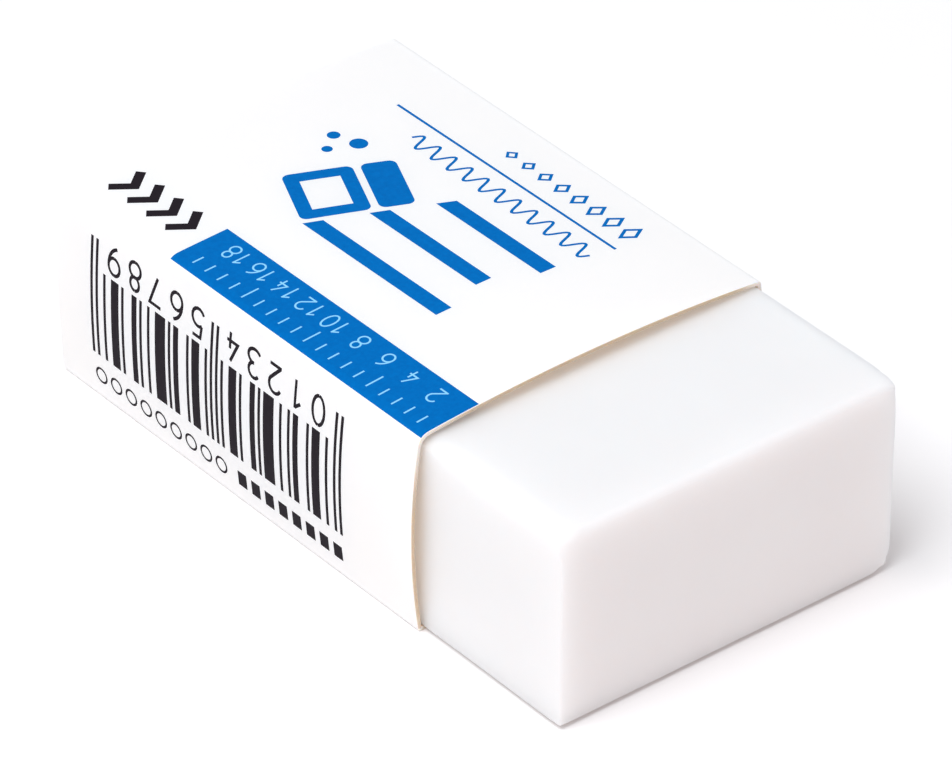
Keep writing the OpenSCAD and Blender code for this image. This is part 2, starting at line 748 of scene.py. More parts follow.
@dataclass(frozen=True)
class RubbingMotif:
    """Three ruled lines that a leaning block rubs out, and three crumbs beside it.

    The block has a solid foot, a gap, and a sleeve in outline: a filled shape with a smaller one in the
    board's own colour on it. The lines end on a slant along the block's near side.

    Attributes:
        place: Left and lower side of the motif on the top panel.
        height: Height of the motif.
        weight: Weight of the ruled lines.
        lean: Lean of the block, in degrees.
        setbacks: How far in each line starts.
        line_end: Where the lowest line ends.
        block_at: The corner that the block leans on, from the motif's own corner.
        foot: Width and height of the block's foot.
        sleeve: Lower side, width and height of its sleeve.
        window: Left and lower side, width and height of the sleeve's bare middle.
        corner_radius: Radius of the corners of foot and sleeve.
        crumbs: Each crumb's place from the motif's own corner, and its radius.
    """

    place: tuple[float, float] = (6.9, 7.4)
    height: float = 7.4
    weight: float = 1.0
    lean: float = 24.0
    setbacks: tuple[float, float, float] = (0.0, 1.2, 0.4)
    line_end: float = 7.9
    block_at: tuple[float, float] = (9.0, 1.75)
    foot: tuple[float, float] = (4.3, 1.9)
    sleeve: tuple[float, float, float] = (2.3, 4.3, 3.75)
    window: tuple[float, float, float, float] = (0.8, 3.1, 2.7, 2.15)
    corner_radius: float = 0.4
    crumbs: tuple[tuple[float, float, float], ...] = ((15.3, 0.5, 0.5), (16.75, 1.0, 0.36), (15.9, 2.1, 0.3))

    def shapes(self, start: float) -> list[Shape]:
        """The lines, the block and the crumbs.

        Args:
            start: Where the top panel starts on the wrap.

        Returns:
            The shapes.
        """
        left, low = self.place[0], start + self.place[1]
        slant = math.tan(math.radians(self.lean))
        made = []
        for row, setback in enumerate(self.setbacks):
            base = row * (self.height - self.weight) / 2
            roof = base + self.weight
            near, far = self.line_end + base * slant, self.line_end + roof * slant
            line = np.array([[setback, base], [near, base], [far, roof], [setback, roof]])
            made.append(Shape(Layer.BLUE, line + [left, low]))
        corner = (left + self.block_at[0], low + self.block_at[1])
        block = [
            (Layer.BLUE, rounded_outline(0.0, 0.0, *self.foot, self.corner_radius)),
            (Layer.BLUE, rounded_outline(0.0, *self.sleeve, self.corner_radius)),
            (Layer.BOARD, box_outline(*self.window)),
        ]
        made += [Shape(layer, turned(outline, -self.lean, corner)) for layer, outline in block]
        for across, up, radius in self.crumbs:
            made.append(Shape(Layer.BLUE, disc_outline((left + across, low + up), radius)))
        return made


@dataclass(frozen=True)
class ChevronRow:
    """A short row of black chevrons beyond the band's end, which point back to the mouth.

    Attributes:
        count: Number of chevrons.
        start: Place of the first one from the mouth edge.
        drop: How far their middle lies before the fold's middle.
        pitch: Their spacing.
        reach: How far a chevron's tip stands out, and half its height.
        weight: Weight of their strokes.
    """

    count: int = 4
    start: float = 22.4
    drop: float = 2.3
    pitch: float = 1.6
    reach: tuple[float, float] = (0.85, 1.05)
    weight: float = 0.55

    def shapes(self, fold: float) -> list[Shape]:
        """The chevrons.

        Args:
            fold: The fold's middle on the wrap.

        Returns:
            The shapes.
        """
        tip, half = self.reach
        path = np.array([[0.0, -half], [-tip, 0.0], [0.0, half]])
        corners = [[self.start + step * self.pitch, fold - self.drop] for step in range(self.count)]
        return [Shape(Layer.BLACK, stroke(path + corner, self.weight)) for corner in corners]


@dataclass(frozen=True)
class BarRow:
    """Upright bars on the plain side, with plain numerals in the notches above the shorter ones.

    The bars are one short run and its mirror image, so they say nothing. Long pairs stand at both ends
    and in the middle. Widths and gaps along the row are in units of the thinnest bar.

    Attributes:
        start: Distance of the first bar from the mouth edge.
        unit_width: Width of the thinnest bar, and of the thinnest gap.
        total: Length of the whole row.
        first: Where the short run starts.
        gaps: The gap before each bar of the short run.
        widths: The width of each of them.
        long_bars: Places of the long bars in the row's first half and at its middle.
        short_low: Upper end of the short bars, which reads upwards from the side panel's start.
        long_low: Upper end of the long bars.
        high: Lower end of all bars.
        notches: The middle of each notch.
        numeral_pitch: Spacing of the numerals.
        numeral_at: Height of their middle.
        numeral_height: Height of the numerals.
        numeral_weight: Weight of their strokes.
    """

    start: float = 5.6
    unit_width: float = 0.22
    total: int = 95
    first: int = 2
    gaps: tuple[int, ...] = (3, 2, 1, 3, 1, 2, 2, 1, 1, 3, 1, 2)
    widths: tuple[int, ...] = (1, 3, 1, 2, 1, 1, 4, 1, 2, 1, 3, 1)
    long_bars: tuple[int, ...] = (0, 2, 46, 48, 92, 94)
    short_low: float = 3.58
    long_low: float = 1.78
    high: float = 8.93
    notches: tuple[int, int] = (25, 70)
    numeral_pitch: float = 1.75
    numeral_at: float = 2.43
    numeral_height: float = 1.65
    numeral_weight: float = 0.2

    def shapes(self, start: float) -> list[Shape]:
        """The bars, and then 0 to 9 in order, five in each notch.

        Args:
            start: Where the plain side starts on the wrap.

        Returns:
            The shapes.
        """
        widths = np.array(self.widths)
        starts = self.first + np.cumsum(self.gaps) + np.concatenate([[0], np.cumsum(widths)[:-1]])
        short = [*zip(starts, widths), *zip(self.total - starts - widths, widths)]
        long = [(at, 1) for at in self.long_bars]
        made = []
        for low, runs in ((self.short_low, short), (self.long_low, long)):
            for at, width in runs:
                left = self.start + at * self.unit_width
                bar = box_outline(left, start + low, width * self.unit_width, self.high - low)
                made.append(Shape(Layer.BLACK, bar))
        for digit in range(10):
            notch, place = divmod(digit, 5)
            middle = self.start + self.notches[notch] * self.unit_width
            centre = (middle + (place - 2) * self.numeral_pitch, start + self.numeral_at)
            made += number_shapes(Layer.BLACK, digit, centre, self.numeral_height, self.numeral_weight)
        return made


@dataclass(frozen=True)
class SquaresAndRings:
    """A row of small squares below the bars, and then a row of fine rings.

    Attributes:
        middle: Height of both rows' middle above the side panel's start.
        squares: Number of squares.
        square_start: Left side of the first square.
        square_pitch: Spacing of the squares.
        square_size: Width and height of a square.
        rings: Number of rings.
        ring_start: Centre of the first ring.
        ring_pitch: Spacing of the rings.
        ring_radii: Outer and inner radius of a ring.
    """

    middle: float = 10.23
    squares: int = 8
    square_start: float = 5.8
    square_pitch: float = 1.12
    square_size: tuple[float, float] = (0.72, 0.9)
    rings: int = 9
    ring_start: float = 15.75
    ring_pitch: float = 1.27
    ring_radii: tuple[float, float] = (0.5, 0.36)

    def shapes(self, start: float) -> list[Shape]:
        """The squares, and then each ring as a black disc with a smaller one of board on it.

        Args:
            start: Where the plain side starts on the wrap.

        Returns:
            The shapes.
        """
        middle = start + self.middle
        wide, tall = self.square_size
        lefts = [self.square_start + step * self.square_pitch for step in range(self.squares)]
        made = [Shape(Layer.BLACK, box_outline(left, middle - tall / 2, wide, tall)) for left in lefts]
        for step in range(self.rings):
            centre = (self.ring_start + step * self.ring_pitch, middle)
            for layer, radius in zip((Layer.BLACK, Layer.BOARD), self.ring_radii):
                made.append(Shape(layer, disc_outline(centre, radius)))
        return made


@dataclass(frozen=True)
class SleevePrint:
    """The print on the blank, in the directions in which it reads.

    On the blank, the first coordinate runs from the mouth edge towards the far end, and the second
    round the wrap, from the top panel over its front fold to the plain side. Both panels read this way
    up. Sizes are in millimetres.

    Attributes:
        band: The blue band along the front fold.
        rows: The rule and the fine rows on the top panel.
        motif: The motif in the middle of the top panel.
        chevrons: The row beyond the band's end.
        bars: The bars and numerals on the plain side.
        marks: The squares and rings below them.
    """

    band: ScaleBand = ScaleBand()
    rows: RuledRows = RuledRows()
    motif: RubbingMotif = RubbingMotif()
    chevrons: ChevronRow = ChevronRow()
    bars: BarRow = BarRow()
    marks: SquaresAndRings = SquaresAndRings()

    def shapes(self, top_start: float, top_end: float, side_start: float) -> list[Shape]:
        """Every printed field, lowest first.

        Args:
            top_start: Where the top panel starts on the wrap.
            top_end: The middle of the fold between the top panel and the plain side.
            side_start: Where the plain side would start if its fold were sharp.

        Returns:
            The shapes.
        """
        return [
            *self.band.shapes(top_end),
            *self.rows.shapes(top_start),
            *self.motif.shapes(top_start),
            *self.chevrons.shapes(top_end),
            *self.bars.shapes(side_start),
            *self.marks.shapes(side_start),
        ]


# ---------------------------------------------------------------- card sleeve

# The outer ply, top, plain side, base and glue flap are panels 0 to 4.
LAST_PANEL = 4


@dataclass(frozen=True)
class FoldedCard:
    """The folded card as a surface over its flat blank.

    A point of the blank has its distance s from the mouth edge, its distance t round the wrap, and its
    depth below the printed face. The wrap runs up the outer ply of the seam side, over the top, down
    the plain side, back under the block and up the glue flap. Millimetres.

    Attributes:
        mouth_x: Where the mouth edge lies along the block.
        length: Length of the sleeve.
        half_width: Half its width, from fold to fold.
        height: Its height, from fold to fold.
        card: Thickness of the card.
        top_bow: Bow of the top panel at the mouth.
        side_bow: Bow of the plain side at the mouth.
        fold_radii: Inner radii of the four scored folds, in the order of the wrap.
        ply_edge: Height of the outer ply's cut edge above the floor.
        flap_setback: Distance of the flap's edge below the top.
        glue_line: Thickness of the glue between the plies.
        far_top_share: Share of the top's bow that is left at the far end.
        far_side_share: Share of the side's bow that is left there.
        fold_reaches: How far the paler pulp near each fold reaches along a cut edge.
        panel_steps: Steps of the mesh across each panel.
        fold_steps: Steps of the mesh round each fold.
        length_steps: Steps of the mesh along the sleeve.
    """

    mouth_x: float
    length: float
    half_width: float
    height: float
    card: float
    top_bow: float
    side_bow: float
    fold_radii: tuple[float, float, float, float] = (0.03, 0.4, 0.03, 0.03)
    ply_edge: float = 0.8
    flap_setback: float = 2.9
    glue_line: float = 0.015
    far_top_share: float = 0.35
    far_side_share: float = 0.6
    fold_reaches: tuple[float, float, float, float] = (0.9, 2.2, 0.1, 0.1)
    panel_steps: tuple[int, int, int, int, int] = (10, 20, 12, 6, 8)
    fold_steps: int = 8
    length_steps: int = 15

    @classmethod
    def from_frame(cls, fit_gap: float = 0.03) -> "FoldedCard":
        """Reads the sleeve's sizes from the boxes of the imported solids.

        Args:
            fit_gap: Clearance between block and card at each fold.

        Returns:
            The folded card.
        """
        block_low, block_high = (np.array(corner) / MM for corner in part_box("eraser_block"))
        low, high = (np.array(corner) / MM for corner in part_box("card_sleeve"))
        card = block_low[2] - low[2]
        half_width = (block_high[1] - block_low[1]) / 2 + card + fit_gap
        height = block_high[2] - block_low[2] + 2 * card + fit_gap
        return cls(
            mouth_x=high[0],
            length=high[0] - low[0],
            half_width=half_width,
            height=height,
            card=card,
            top_bow=high[2] - height,
            side_bow=-half_width - low[1],
        )

    @property
    def turns(self) -> list[float]:
        """Distances from each fold's corner to where the panels run straight."""
        return [radius + self.card for radius in self.fold_radii]

    @property
    def fold_runs(self) -> list[float]:
        """Lengths of the folds on the blank: quarter circles at the card's middle."""
        return [math.pi / 2 * (radius + self.card / 2) for radius in self.fold_radii]

    @property
    def panel_runs(self) -> list[float]:
        """Lengths of the outer ply, top, plain side, base and flap on the blank, without the folds."""
        back, front, foot, lap = self.turns
        wide = 2 * self.half_width
        return [
            self.height - self.ply_edge - back,
            wide - back - front,
            self.height - front - foot,
            wide - foot - lap,
            self.height - lap - self.flap_setback,
        ]

    @property
    def panel_starts(self) -> list[float]:
        """Where each panel starts round the wrap."""
        ends = np.cumsum(np.array(self.panel_runs[:-1]) + self.fold_runs)
        return [0.0, *ends.tolist()]

    @property
    def wrap_length(self) -> float:
        """Length of the blank round the wrap."""
        return self.panel_starts[-1] + self.panel_runs[-1]

    @staticmethod
    def bulge(share: Points) -> Points:
        """A parabola that is 0 at both folds and 1 half way between them."""
        return 4 * share * (1 - share)

    def panel(self, number: int, run: Points, depth: Points, fade: Points) -> Points:
        """Places points of one panel in the cross-section.

        Args:
            number: The panel, in the order of panel_runs.
            run: Distance along the panel from its first fold.
            depth: Depth below the printed face.
            fade: Share of the sleeve's length, from 0 at the mouth to 1 at the far end.

        Returns:
            Across and up, on a last axis of 2.
        """
        top = self.top_bow * (1 - (1 - self.far_top_share) * fade)
        side = self.side_bow * (1 - (1 - self.far_side_share) * fade)
        back, front, foot, lap = self.turns
        if number == 1:
            across = self.half_width - back - run
            share = (across + self.half_width) / (2 * self.half_width)
            up = self.height - depth + top * self.bulge(share)
        elif number == 2:
            up = self.height - front - run
            across = depth - self.half_width - side * self.bulge(up / self.height)
        elif number == 3:
            across = run + foot - self.half_width
            up = depth + 0 * run
        else:
            up = run + (self.ply_edge if number == 0 else lap)
            under = depth + (0 if number == 0 else self.card + self.glue_line)
            lean = self.card * (1 - up / self.height)
            seam_bow = self.card * self.height / (4 * self.flap_setback)
            across = self.half_width - under + lean + seam_bow * self.bulge(up / self.height)
        return np.stack([across, up], axis=-1)

    def fold(self, number: int, share: Points, depth: Points, fade: Points) -> Points:
        """Places points of the fold after a panel.

        They lie on the quadratic curve from that panel's end, towards the corner where the two faces
        would meet, to the next panel's start.

        Args:
            number: The panel before the fold.
            share: Share of the way round the fold.
            depth: Depth below the printed face.
            fade: Share of the sleeve's length.

        Returns:
            Across and up, on a last axis of 2.
        """
        right = number in (0, 3)
        across = (self.half_width - depth) * (1 if right else -1)
        up = self.height - depth if number < 2 else depth
        corner = np.stack([across, up], axis=-1)
        first = self.panel(number, np.full_like(share, self.panel_runs[number]), depth, fade)
        last = self.panel(number + 1, np.zeros_like(share), depth, fade)
        share = share[..., None]
        return (1 - share) ** 2 * first + 2 * share * (1 - share) * corner + share ** 2 * last

    def place(self, s: Points, t: Points, depth: Points) -> Points:
        """Places points of the blank in space.

        Args:
            s: Distance from the mouth edge.
            t: Distance round the wrap.
            depth: Depth below the printed face.

        Returns:
            The points, on a last axis of 3.
        """
        s, t, depth = np.broadcast_arrays(s, t, depth)
        fade = np.clip(s / self.length, 0, 1)
        section = np.zeros((*s.shape, 2))
        for number, (start, run) in enumerate(zip(self.panel_starts, self.panel_runs)):
            opens = t >= start if number else np.full(t.shape, True)
            end = start + run
            flat = opens & ((t <= end) | (number == LAST_PANEL))
            section[flat] = self.panel(number, t[flat] - start, depth[flat], fade[flat])
            if number < LAST_PANEL:
                bent = (t > end) & (t < end + self.fold_runs[number])
                share = (t[bent] - end) / self.fold_runs[number]
                section[bent] = self.fold(number, share, depth[bent], fade[bent])
        return np.concatenate([(self.mouth_x - s)[..., None], section], axis=-1)

    def normals(self, s: Points, t: Points, depth: Points) -> Points:
        """The outward normal of the surface, from the cross product of small steps along s and t.

        Args:
            s: Distance from the mouth edge.
            t: Distance round the wrap.
            depth: Depth below the printed face.

        Returns:
            The normals, at length 1.
        """
        step = 0.002
        along = self.place(s + step, t, depth) - self.place(s - step, t, depth)
        round_wrap = self.place(s, t + step, depth) - self.place(s, t - step, depth)
        return unit(np.cross(along, round_wrap))

    def near_fold(self, t: Points) -> Points:
        """How near a place round the wrap is to a fold: the highest of the folds' bell curves."""
        middles = np.array(self.panel_starts[1:]) - np.array(self.fold_runs) / 2
        return np.exp(-((t[:, None] - middles) / self.fold_reaches) ** 2).max(axis=1)

    def grid_lines(self) -> tuple[Points, Points]:
        """Lines that the blank's mesh has to follow, so that its flat triangles hug the bends.

        Returns:
            The lines' places along s, and round the wrap.
        """
        round_wrap = []
        for number, (start, run) in enumerate(zip(self.panel_starts, self.panel_runs)):
            end = start + run
            round_wrap.append(np.linspace(start, end, self.panel_steps[number] + 1))
            if number < LAST_PANEL:
                round_wrap.append(np.linspace(end, end + self.fold_runs[number], self.fold_steps + 1)[1:-1])
        return np.linspace(0, self.length, self.length_steps + 1)[1:-1], np.concatenate(round_wrap)[1:-1]


# Triangulate only what lies inside the outlines, and merge corners that are nearer than this.
CDT_INSIDE = 1
CDT_MERGE = 1e-4
# Distance at which a corner of the blank counts as lying on its edge.
ON_EDGE = 1e-3


@dataclass(frozen=True)
class FlatMesh:
    """Triangles of the flat blank.

    Attributes:
        points: The corners on the blank.
        triangles: Three corners each, counterclockwise.
        layers: The print layer that shows on each triangle.
        rim: The corners along the blank's edge, in order.
    """

    points: Points
    triangles: Points
    layers: Points
    rim: Points


@dataclass
class CardSleeve:
    """The printed sleeve: one sheet of board, folded round the block and glued along one side.

    Attributes:
        card: The folded card's form.
        artwork: What is printed on it.
        edge_round: How far the die crushes the rims of the cut edges.
        edge_rows: Rows of faces across a cut edge.
    """

    card: FoldedCard
    artwork: SleevePrint = SleevePrint()
    edge_round: float = 0.04
    edge_rows: int = 6

    def flat_mesh(self) -> FlatMesh:
        """Cuts the blank into triangles along its fold lines and the outlines of the print.

        The topmost shape that holds a triangle gives its layer. Shapes that run past the blank are
        trimmed by its edge.

        Returns:
            The flat mesh.
        """
        card = self.card
        starts, runs = card.panel_starts, card.panel_runs
        fold = starts[1] + runs[1] + card.fold_runs[1] / 2
        shapes = self.artwork.shapes(starts[1], fold, starts[2] - card.turns[1])
        low = np.full(2, self.edge_round)
        high = np.array([card.length, card.wrap_length]) - self.edge_round
        outlines = [box_outline(*low, *(high - low))]
        outlines += [counterclockwise(np.clip(shape.outline, low, high)) for shape in shapes]
        cross, length = card.grid_lines()
        lines = [np.array([[s, low[1]], [s, high[1]]]) for s in cross]
        lines += [np.array([[low[0], t], [high[0], t]]) for t in length]
        ends = np.cumsum([0] + [len(outline) for outline in outlines + lines])
        spans = list(zip(ends[:-1].tolist(), ends[1:].tolist()))
        corners, _, faces, _, _, holders = delaunay_2d_cdt(
            [Vector(corner) for corner in np.vstack(outlines + lines)],
            [(start, end - 1) for start, end in spans[len(outlines):]],
            [list(range(start, end)) for start, end in spans[:len(outlines)]],
            CDT_INSIDE, CDT_MERGE, True,
        )
        layer_of = np.array([Layer.BOARD] + [shape.layer for shape in shapes])
        layers = layer_of[np.array([max(held) for held in holders])]
        points = np.array([corner[:] for corner in corners])
        return FlatMesh(points, np.array(faces), layers, self.rim_order(points, low, high))

    @staticmethod
    def rim_order(points: Points, low: Points, high: Points) -> Points:
        """Finds the corners on the blank's edge and sorts them round it.

        Args:
            points: All corners.
            low: The blank's lowest corner.
            high: Its highest corner.

        Returns:
            Indexes of the rim's corners, counterclockwise.
        """
        s, t = points.T
        wide, tall = high - low
        sides = [
            (abs(t - low[1]) < ON_EDGE, s - low[0]),
            (abs(s - high[0]) < ON_EDGE, wide + t - low[1]),
            (abs(t - high[1]) < ON_EDGE, wide + tall + high[0] - s),
            (abs(s - low[0]) < ON_EDGE, 2 * wide + tall + high[1] - t),
        ]
        way = np.full(len(points), np.inf)
        for on_side, distance in reversed(sides):
            way[on_side] = distance[on_side]
        return np.argsort(way)[:np.isfinite(way).sum()]

    def build(self) -> bpy.types.Object:
        """Folds the blank into two faces and closes them with the cut edges.

        Returns:
            The sleeve.
        """
        card = self.card
        flat = self.flat_mesh()
        s, t = flat.points.T
        count, rim = len(s), flat.rim
        outer, inner = card.place(s, t, 0.0), card.place(s, t, card.card)
        rings, share = self.edge_rings(flat)
        rows = self.edge_rows
        between = 2 * count + np.arange((rows - 1) * len(rim)).reshape(rows - 1, -1)
        laps = np.vstack([rim, between, rim + count])
        ahead = np.roll(laps, -1, axis=1)
        strips = np.stack([laps[:-1], laps[1:], ahead[1:], ahead[:-1]], axis=-1).reshape(-1, 4)
        faces = [*flat.triangles.tolist(), *(flat.triangles[:, ::-1] + count).tolist(), *strips.tolist()]
        points = np.vstack([outer, inner, rings[1:-1].reshape(-1, 3)])
        depth = np.concatenate([np.zeros(count), np.ones(count), np.repeat(share[1:-1], len(rim))])
        near = card.near_fold(t)
        near = np.concatenate([near, near, np.tile(near[rim], rows - 1)])
        backs = np.where(flat.layers == Layer.BOARD, Layer.BACK, Layer.INKED_BACK)
        slots = np.concatenate([flat.layers, backs, np.full(len(strips), Layer.EDGE)])
        normals = np.vstack([
            card.normals(s, t, 0.0)[flat.triangles].reshape(-1, 3),
            -card.normals(s, t, card.card)[flat.triangles[:, ::-1]].reshape(-1, 3),
            self.edge_normals(rings),
        ])
        finishes = [CARD_FINISHES[layer].material() for layer in Layer]
        made = make_piece("printed_card_sleeve", points, faces, finishes, slots, normals)
        for attribute, values in ((DEPTH_NAME, depth), (FOLD_NAME, near)):
            made.data.attributes.new(attribute, "FLOAT", "POINT").data.foreach_set("value", values)
        return made

    def edge_rings(self, flat: FlatMesh) -> tuple[Points, Points]:
        """Rings of points across the cut edge.

        Each ring stands out from the blank's rim by edge_round times one less the fourth power of its
        distance from the middle of the card, so the edge is square with crushed rims.

        Args:
            flat: The flat mesh.

        Returns:
            The rings' points, ring by ring, and each ring's share of the card's depth.
        """
        s, t = flat.points[flat.rim].T
        share = np.linspace(0, 1, self.edge_rows + 1)
        out = self.edge_round * (1 - np.abs(2 * share - 1) ** 4)[:, None]
        ways = [
            (value > value.max() - ON_EDGE).astype(float) - (value < value.min() + ON_EDGE)
            for value in (s, t)
        ]
        depth = share[:, None] * self.card.card
        return self.card.place(s + out * ways[0], t + out * ways[1], depth), share

    @staticmethod
    def edge_normals(rings: Points) -> Points:
        """Normals at the corners of the cut edge's faces, from steps across the rings and along them.

        Args:
            rings: The rings' points, ring by ring.

        Returns:
            The normals, four for each face.
        """
        along = np.roll(rings, -1, axis=1) - np.roll(rings, 1, axis=1)
        across = np.gradient(rings, axis=0)
        outward = unit(np.cross(across, along))
        ahead = np.roll(outward, -1, axis=1)
        return np.stack([outward[:-1], outward[1:], ahead[1:], ahead[:-1]], axis=2).reshape(-1, 3)


# ---------------------------------------------------------------- vinyl block

@dataclass(frozen=True)
class SoftSpot:
    """An edge or a corner of the block that is rounder than the rest.

    Attributes:
        place: The sides that meet there, -1 or 1 on each axis, and 0 along an edge.
        radii: How far the rounding reaches in from the sides, along X, Y and Z.
        reach: How far from the spot the radii fall back to those of the other edges.
    """

    place: tuple[int, int, int]
    radii: tuple[float, float, float]
    reach: float


@dataclass
class VinylBlock:
    """The vinyl block: a box with crisp edges, some of them a little softer.

    Attributes:
        low: Lowest corner of its box, in millimetres.
        high: Highest corner.
        edge_radius: Radius of its edges.
        soft_spots: The edges and corners with a radius of their own.
        hollow: Greatest depth of the faint unevenness of its faces.
        wave_mm: Length of a radian of its waves along X, Y and Z.
        wave_shifts: Where those waves start, in radians.
        sway: How far the waves along X sway to and fro, in radians.
        sway_mm: Length of a radian of that sway along Y.
        slope_step: Half the step that measures its slope.
        bend_steps: Faces from an edge's flat to its middle.
        flat_steps: Faces along each flat, in X, Y and Z.
    """

    low: Points
    high: Points
    edge_radius: float = 0.06
    soft_spots: tuple[SoftSpot, ...] = (
        SoftSpot((0, -1, 1), radii=(0.1, 1.2, 0.6), reach=1.7),
        SoftSpot((1, 0, 1), radii=(0.45, 0.1, 0.4), reach=1.0),
        SoftSpot((1, -1, 0), radii=(0.15, 0.15, 0.1), reach=0.5),
        SoftSpot((1, 1, 1), radii=(0.9, 0.15, 0.25), reach=1.0),
        SoftSpot((1, 1, -1), radii=(0.4, 0.4, 0.4), reach=0.7),
    )
    hollow: float = 0.03
    wave_mm: tuple[float, float, float] = (3.1, 2.9, 2.7)
    wave_shifts: tuple[float, float] = (0.7, -0.4)
    sway: float = 0.4
    sway_mm: float = 2.3
    slope_step: float = 0.01
    bend_steps: int = 7
    flat_steps: tuple[int, int, int] = (72, 48, 32)

    @classmethod
    def from_frame(cls) -> "VinylBlock":
        """Reads the block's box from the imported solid."""
        low, high = (np.array(corner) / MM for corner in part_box("eraser_block"))
        return cls(low, high)

    def axis_values(self, steps: int) -> tuple[Points, Points]:
        """Values along one axis of the lattice, closer together near both ends.

        Args:
            steps: Faces along the flat.

        Returns:
            The place on the flat, which is the sine of even steps from -90 to 90 degrees and stays at -1
            or 1 on the bends, and the lean of the normal, which is the tangent of up to 45 degrees on the
            bends and 0 between them.
        """
        bend = np.tan(np.linspace(0, math.pi / 4, self.bend_steps + 1))
        lean = np.concatenate([-bend[::-1], np.zeros(steps - 1), bend])
        flat = np.sin(np.linspace(-math.pi / 2, math.pi / 2, steps + 1))
        held = np.ones(self.bend_steps)
        return np.concatenate([-held, flat, held]), lean

    def lattice(self) -> tuple[Points, Points, Points]:
        """The six sides of the lattice as one closed set of four-sided faces.

        Returns:
            Places on the flats, leans of the normal, and faces.
        """
        values = [self.axis_values(steps) for steps in self.flat_steps]
        counts = np.array([len(lean) for _, lean in values])
        sides = []
        for axis in range(3):
            first, second = (axis + 1) % 3, (axis + 2) % 3
            for end in (0, counts[axis] - 1):
                u, v = np.meshgrid(np.arange(counts[first]), np.arange(counts[second]), indexing="ij")
                key = np.zeros((*u.shape, 3), dtype=int)
                key[..., axis], key[..., first], key[..., second] = end, u, v
                quads = np.stack([key[:-1, :-1], key[1:, :-1], key[1:, 1:], key[:-1, 1:]], axis=2)
                quads = quads.reshape(-1, 4, 3)
                sides.append(quads if end else quads[:, ::-1])
        keys, index = np.unique(np.concatenate(sides).reshape(-1, 3), axis=0, return_inverse=True)
        flats = np.stack([values[axis][0][keys[:, axis]] for axis in range(3)], axis=1)
        leans = np.stack([values[axis][1][keys[:, axis]] for axis in range(3)], axis=1)
        return flats, leans, index.reshape(-1, 4)

    def radii(self, flats: Points) -> Points:
        """The radii of the edges' rounding at places on the flats.

        Each soft spot adds to edge_radius by a bell curve of the distance from it, measured across it.
        Where spots meet, the fourth root of the sum of the fourth powers keeps about the largest.

        Args:
            flats: Places on the flats, from -1 to 1.

        Returns:
            The radii along X, Y and Z.
        """
        half = (self.high - self.low) / 2
        total = np.zeros_like(flats)
        for spot in self.soft_spots:
            place = np.array(spot.place)
            across = (flats - place) * half * np.abs(place)
            bell = np.exp(-np.sum(across ** 2, axis=1, keepdims=True) / spot.reach ** 2)
            total += ((np.array(spot.radii) - self.edge_radius) * bell) ** 4
        return self.edge_radius + total ** 0.25

    def dent(self, points: Points) -> Points:
        """Depth of the unevenness: slow waves along each axis, multiplied, between 0 and hollow.

        Args:
            points: Places on the block.

        Returns:
            The depths.
        """
        x, y, z = points[..., 0], points[..., 1], points[..., 2]
        along_x = np.sin(x / self.wave_mm[0] + self.sway * np.sin(y / self.sway_mm))
        along_y = np.cos(y / self.wave_mm[1] + self.wave_shifts[0])
        along_z = np.cos(z / self.wave_mm[2] + self.wave_shifts[1])
        return self.hollow * (1 + along_x * along_y * along_z) / 2

    def build(self) -> bpy.types.Object:
        """Places the lattice: each point lies on an ellipsoid about its place on the inner box.

        The ellipsoid's point is each radius times the unit vector of the leans, and its normal is that
        vector with each part divided by its radius.

        Returns:
            The block.
        """
        flats, leans, faces = self.lattice()
        radii = self.radii(flats)
        half = (self.high - self.low) / 2
        even = (self.high + self.low) / 2 + flats * (half - radii) + radii * unit(leans)
        out = unit(unit(leans) / radii)
        points = even - self.dent(even)[:, None] * out
        steps = self.slope_step * np.eye(3)
        rises = [self.dent(even + step) - self.dent(even - step) for step in steps]
        slope = np.stack(rises, axis=1) / (2 * self.slope_step)
        slope -= np.sum(slope * out, axis=1, keepdims=True) * out
        normals = unit(out + slope)[faces].reshape(-1, 3)
        slots = np.zeros(len(faces), dtype=int)
        return make_piece("vinyl_block", points, faces.tolist(), [WHITE_VINYL.material()], slots, normals)


# ---------------------------------------------------------------- pieces

def make_piece(
    name: str,
    points: Points,
    faces: list[list[int]],
    materials: list[bpy.types.Material],
    slots: Points,
    normals: Points,
) -> bpy.types.Object:
    """Makes an object at the origin, with its place in its mesh.

    Args:
        name: Name of the piece.
        points: Corners in millimetres.
        faces: Corner numbers of each face.
        materials: The materials in the order of their slots.
        slots: The slot of each face.
        normals: The normal at each corner of each face.

    Returns:
        The object.
    """
    mesh = bpy.data.meshes.new(name)
    mesh.from_pydata((points * MM).tolist(), [], faces)
    for material in materials:
        mesh.materials.append(material)
    mesh.polygons.foreach_set("material_index", slots.astype(np.int32))
    mesh.polygons.foreach_set("use_smooth", np.ones(len(faces), dtype=bool))
    mesh.normals_split_custom_set(normals.tolist())
    made = bpy.data.objects.new(name, mesh)
    bpy.context.scene.collection.objects.link(made)
    LOG.info("%s: %d points, %d faces", name, len(points), len(faces))
    return made


# ---------------------------------------------------------------- studio

